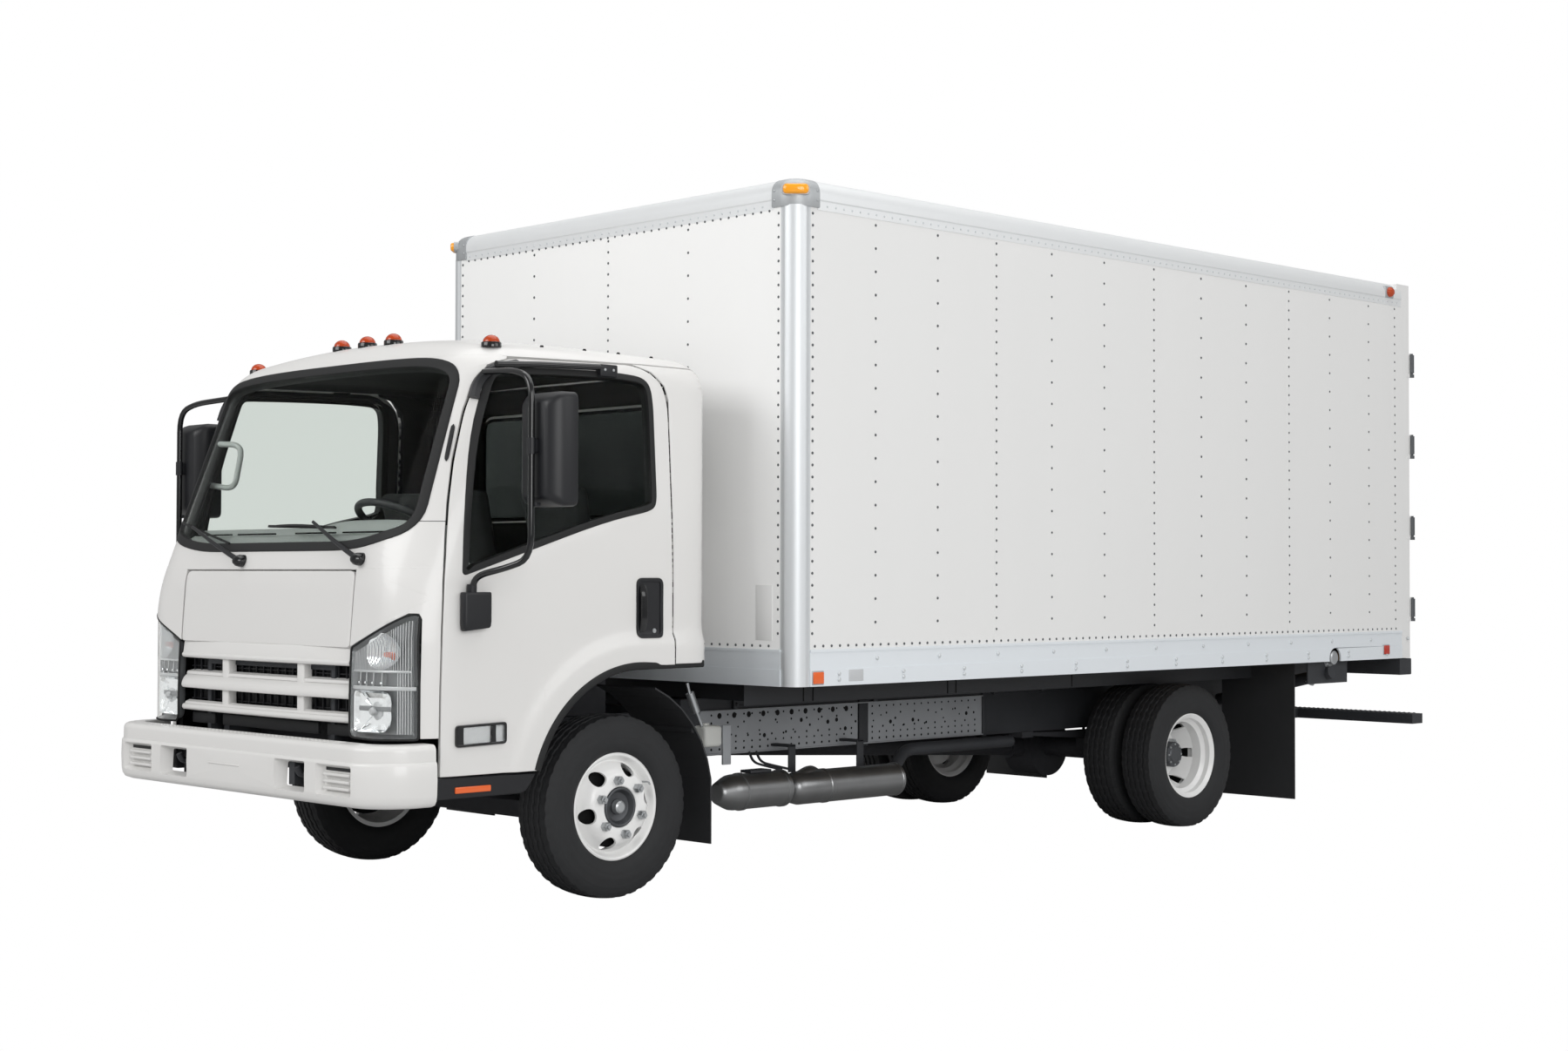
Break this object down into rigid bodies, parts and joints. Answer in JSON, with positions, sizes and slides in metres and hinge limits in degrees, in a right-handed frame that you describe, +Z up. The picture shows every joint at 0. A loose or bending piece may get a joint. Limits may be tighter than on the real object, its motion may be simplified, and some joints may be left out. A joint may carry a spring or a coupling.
{
  "type": "cab-over cargo truck",
  "caption": "Cab-over truck with a forward-tilting cab and a riveted van body with hinged rear doors, rolling and steering on its wheels.",
  "frame": {"origin": "on the ground under the middle of the bounding box", "axes": "+X to the truck's left, -Y the way it drives, +Z up"},
  "size_m": [2.77, 7.13, 2.992],
  "materials": {
    "white_paint": "gloss",
    "body_panel": "satin",
    "aluminium": "satin",
    "frame_paint": "satin",
    "cast_metal": "matt",
    "steel": "satin",
    "black_plastic": "matt",
    "rubber": "matt",
    "tyre": "matt",
    "glass": "gloss",
    "lamp_clear": "gloss",
    "lamp_amber": "gloss",
    "wood": "matt",
    "trim_grey": "matt",
    "cloth": "matt"
  },
  "bodies": {
    "chassis": {"ladder_frame": "frame_paint", "front_axle": "cast_metal", "rear_axle": "cast_metal", "leaf_springs": "steel", "engine": "cast_metal", "radiator": "black_plastic", "exhaust": "steel", "fuel_tank": "frame_paint", "front_bumper": "white_paint", "rear_step": "frame_paint", "mud_guards": "rubber", "body_underframe": "frame_paint", "body_floor": "wood", "body_walls": "body_panel", "body_roof": "body_panel", "body_rails": "aluminium", "rear_frame": "white_paint", "body_lamps": "lamp_amber"},
    "rear_left_door": {"rear_door_left": "white_paint"},
    "rear_right_door": {"rear_door_right": "white_paint"},
    "cab": {"cab_floor": "white_paint", "cab_back": "white_paint", "cab_roof": "white_paint", "cab_front": "white_paint", "cab_pillars": "white_paint", "cab_glass": "glass", "cab_sills": "black_plastic", "grille": "white_paint", "headlamps": "lamp_clear", "dashboard": "trim_grey", "seats": "cloth", "wipers": "black_plastic", "roof_lamps": "lamp_amber"},
    "steering_wheel": {"steering_wheel": "black_plastic"},
    "left_door": {"door_left": "white_paint", "door_glass_left": "glass", "mirror_left": "black_plastic"},
    "right_door": {"door_right": "white_paint", "door_glass_right": "glass", "mirror_right": "black_plastic"},
    "left_knuckle": {"knuckle_left": "cast_metal"},
    "right_knuckle": {"knuckle_right": "cast_metal"},
    "tie_rod": {"tie_rod": "steel"},
    "front_left_wheel": {"wheel_front_left": "white_paint", "tyre_front_left": "tyre"},
    "front_right_wheel": {"wheel_front_right": "white_paint", "tyre_front_right": "tyre"},
    "rear_left_wheels": {"wheel_rear_left": "white_paint", "tyres_rear_left": "tyre"},
    "rear_right_wheels": {"wheel_rear_right": "white_paint", "tyres_rear_right": "tyre"}
  },
  "joints": [
    {"name": "cab_tilt", "type": "hinge", "parent": "chassis", "child": "cab", "pos_m": [0, -3.325, 0.77], "axis": [1, 0, 0], "range_deg": [0, 45]},
    {"name": "left_door_hinge", "type": "hinge", "parent": "cab", "child": "left_door", "pos_m": [0.976, -3.285, 1.2], "axis": [0, 0, -1], "range_deg": [0, 70]},
    {"name": "right_door_hinge", "type": "hinge", "parent": "cab", "child": "right_door", "pos_m": [-0.976, -3.285, 1.2], "axis": [0, 0, 1], "range_deg": [0, 70]},
    {"name": "steering_wheel_turn", "type": "hinge", "parent": "cab", "child": "steering_wheel", "pos_m": [0.448, -3.03, 1.495], "axis": [0, 0.4695, 0.8829], "range_deg": [-640, 640]},
    {"name": "rear_left_door_hinge", "type": "hinge", "parent": "chassis", "child": "rear_left_door", "pos_m": [1.221, 3.399, 1.85], "axis": [0, 0, -1], "range_deg": [0, 250]},
    {"name": "rear_right_door_hinge", "type": "hinge", "parent": "chassis", "child": "rear_right_door", "pos_m": [-1.221, 3.399, 1.85], "axis": [0, 0, 1], "range_deg": [0, 250]},
    {"name": "left_kingpin", "type": "hinge", "parent": "chassis", "child": "left_knuckle", "pos_m": [0.7005, -2.34, 0.374], "axis": [0, 0, 1], "range_deg": [-35, 35]},
    {"name": "right_kingpin", "type": "hinge", "parent": "chassis", "child": "right_knuckle", "pos_m": [-0.7005, -2.34, 0.374], "axis": [0, 0, 1], "range_deg": [-35, 35]},
    {"name": "tie_rod_ball", "type": "hinge", "parent": "left_knuckle", "child": "tie_rod", "pos_m": [0.7005, -2.155, 0.27], "axis": [0, 0, 1], "range_deg": [-35, 35]},
    {"name": "front_left_spin", "type": "hinge", "parent": "left_knuckle", "child": "front_left_wheel", "pos_m": [0.8325, -2.34, 0.374], "axis": [1, 0, 0], "continuous": true},
    {"name": "front_right_spin", "type": "hinge", "parent": "right_knuckle", "child": "front_right_wheel", "pos_m": [-0.8325, -2.34, 0.374], "axis": [1, 0, 0], "continuous": true},
    {"name": "rear_left_spin", "type": "hinge", "parent": "chassis", "child": "rear_left_wheels", "pos_m": [0.825, 1.47, 0.374], "axis": [1, 0, 0], "continuous": true},
    {"name": "rear_right_spin", "type": "hinge", "parent": "chassis", "child": "rear_right_wheels", "pos_m": [-0.825, 1.47, 0.374], "axis": [1, 0, 0], "continuous": true}
  ],
  "couplings": [
    {"joint": "right_kingpin", "follows": "left_kingpin", "ratio": 1},
    {"joint": "tie_rod_ball", "follows": "left_kingpin", "ratio": -1},
    {"joint": "steering_wheel_turn", "follows": "left_kingpin", "ratio": 18}
  ]
}
